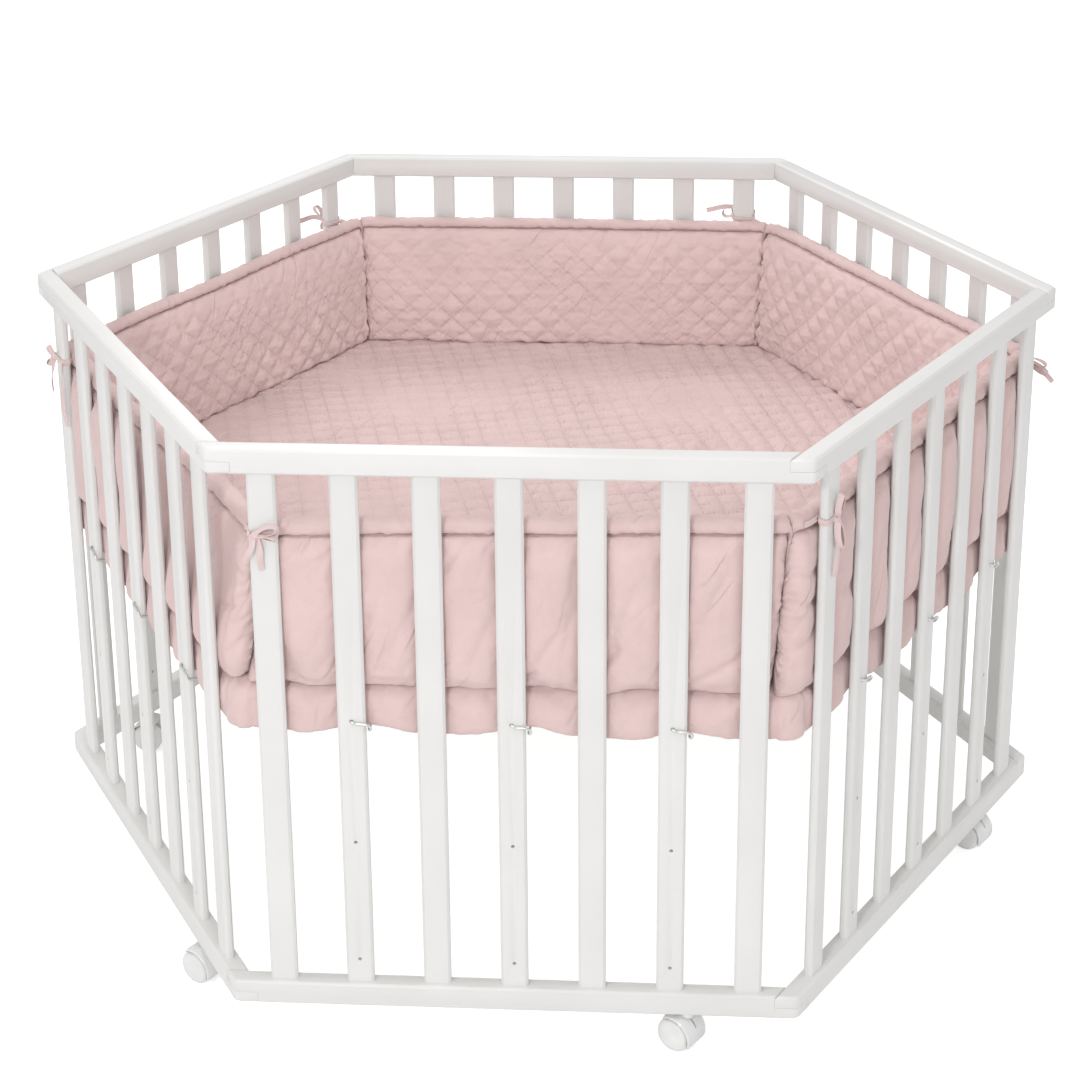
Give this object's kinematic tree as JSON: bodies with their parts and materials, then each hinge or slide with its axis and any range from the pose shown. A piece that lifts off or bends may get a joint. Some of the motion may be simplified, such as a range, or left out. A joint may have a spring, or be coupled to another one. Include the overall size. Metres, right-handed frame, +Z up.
{
  "type": "playpen mat in a hexagonal playpen",
  "caption": "Padded quilted mat with upright padded walls, tied into a hexagonal slatted playpen frame on castors.",
  "frame": {"origin": "on the floor, under the middle of the hexagon", "axes": "+Z up, -Y towards the front panel, +X to the right of it and corner to corner"},
  "size_m": [1.2376, 1.0966, 0.713],
  "materials": {
    "white_paint": "satin white paint on solid wood",
    "painted_board": "matte white paint",
    "zinc_steel": "bright zinc-plated wire",
    "white_plastic": "moulded, half gloss",
    "pink_cotton": "matte woven cotton, dusty pink",
    "pink_ribbon": "matte folded cotton tape"
  },
  "bodies": {
    "playpen": {"playpen_panel_1": "white_paint", "floor_hook_1a": "zinc_steel", "floor_hook_1b": "zinc_steel", "floor_hook_1c": "zinc_steel", "mat_wall_1": "pink_cotton", "ribbon_tie_1": "pink_ribbon", "playpen_panel_2": "white_paint", "floor_hook_2a": "zinc_steel", "floor_hook_2b": "zinc_steel", "floor_hook_2c": "zinc_steel", "mat_wall_2": "pink_cotton", "ribbon_tie_2": "pink_ribbon", "playpen_panel_3": "white_paint", "floor_hook_3a": "zinc_steel", "floor_hook_3b": "zinc_steel", "floor_hook_3c": "zinc_steel", "mat_wall_3": "pink_cotton", "ribbon_tie_3": "pink_ribbon", "playpen_panel_4": "white_paint", "floor_hook_4a": "zinc_steel", "floor_hook_4b": "zinc_steel", "floor_hook_4c": "zinc_steel", "mat_wall_4": "pink_cotton", "ribbon_tie_4": "pink_ribbon", "playpen_panel_5": "white_paint", "floor_hook_5a": "zinc_steel", "floor_hook_5b": "zinc_steel", "floor_hook_5c": "zinc_steel", "mat_wall_5": "pink_cotton", "ribbon_tie_5": "pink_ribbon", "playpen_panel_6": "white_paint", "floor_hook_6a": "zinc_steel", "floor_hook_6b": "zinc_steel", "floor_hook_6c": "zinc_steel", "mat_wall_6": "pink_cotton", "ribbon_tie_6": "pink_ribbon", "floor_board": "painted_board", "mat_base": "pink_cotton"},
    "castor_1": {"castor_hood_1": "white_plastic"},
    "castor_roller_1": {"castor_wheels_1": "white_plastic"},
    "castor_2": {"castor_hood_2": "white_plastic"},
    "castor_roller_2": {"castor_wheels_2": "white_plastic"},
    "castor_3": {"castor_hood_3": "white_plastic"},
    "castor_roller_3": {"castor_wheels_3": "white_plastic"},
    "castor_4": {"castor_hood_4": "white_plastic"},
    "castor_roller_4": {"castor_wheels_4": "white_plastic"},
    "castor_5": {"castor_hood_5": "white_plastic"},
    "castor_roller_5": {"castor_wheels_5": "white_plastic"},
    "castor_6": {"castor_hood_6": "white_plastic"},
    "castor_roller_6": {"castor_wheels_6": "white_plastic"}
  },
  "joints": [
    {"name": "castor_1_swivel", "type": "hinge", "parent": "playpen", "child": "castor_1", "pos_m": [0.19, -0.52594, 0.048], "axis": [0, 0, 1], "continuous": true},
    {"name": "castor_1_roll", "type": "hinge", "parent": "castor_1", "child": "castor_roller_1", "pos_m": [0.18161, -0.52049, 0.02], "axis": [0.5446, 0.8387, 0], "continuous": true},
    {"name": "castor_2_swivel", "type": "hinge", "parent": "playpen", "child": "castor_2", "pos_m": [0.55047, -0.09842, 0.048], "axis": [0, 0, 1], "continuous": true},
    {"name": "castor_2_roll", "type": "hinge", "parent": "castor_2", "child": "castor_roller_2", "pos_m": [0.54209, -0.09298, 0.02], "axis": [0.5446, 0.8387, 0], "continuous": true},
    {"name": "castor_3_swivel", "type": "hinge", "parent": "playpen", "child": "castor_3", "pos_m": [0.36047, 0.42751, 0.048], "axis": [0, 0, 1], "continuous": true},
    {"name": "castor_3_roll", "type": "hinge", "parent": "castor_3", "child": "castor_roller_3", "pos_m": [0.35518, 0.43599, 0.02], "axis": [0.848, 0.5299, 0], "continuous": true},
    {"name": "castor_4_swivel", "type": "hinge", "parent": "playpen", "child": "castor_4", "pos_m": [-0.19, 0.52594, 0.048], "axis": [0, 0, 1], "continuous": true},
    {"name": "castor_4_roll", "type": "hinge", "parent": "castor_4", "child": "castor_roller_4", "pos_m": [-0.18161, 0.52049, 0.02], "axis": [-0.5446, -0.8387, 0], "continuous": true},
    {"name": "castor_5_swivel", "type": "hinge", "parent": "playpen", "child": "castor_5", "pos_m": [-0.55047, 0.09842, 0.048], "axis": [0, 0, 1], "continuous": true},
    {"name": "castor_5_roll", "type": "hinge", "parent": "castor_5", "child": "castor_roller_5", "pos_m": [-0.54063, 0.09669, 0.02], "axis": [-0.1736, -0.9848, 0], "continuous": true},
    {"name": "castor_6_swivel", "type": "hinge", "parent": "playpen", "child": "castor_6", "pos_m": [-0.36047, -0.42751, 0.048], "axis": [0, 0, 1], "continuous": true},
    {"name": "castor_6_roll", "type": "hinge", "parent": "castor_6", "child": "castor_roller_6", "pos_m": [-0.36886, -0.42207, 0.02], "axis": [0.5446, 0.8387, 0], "continuous": true}
  ]
}
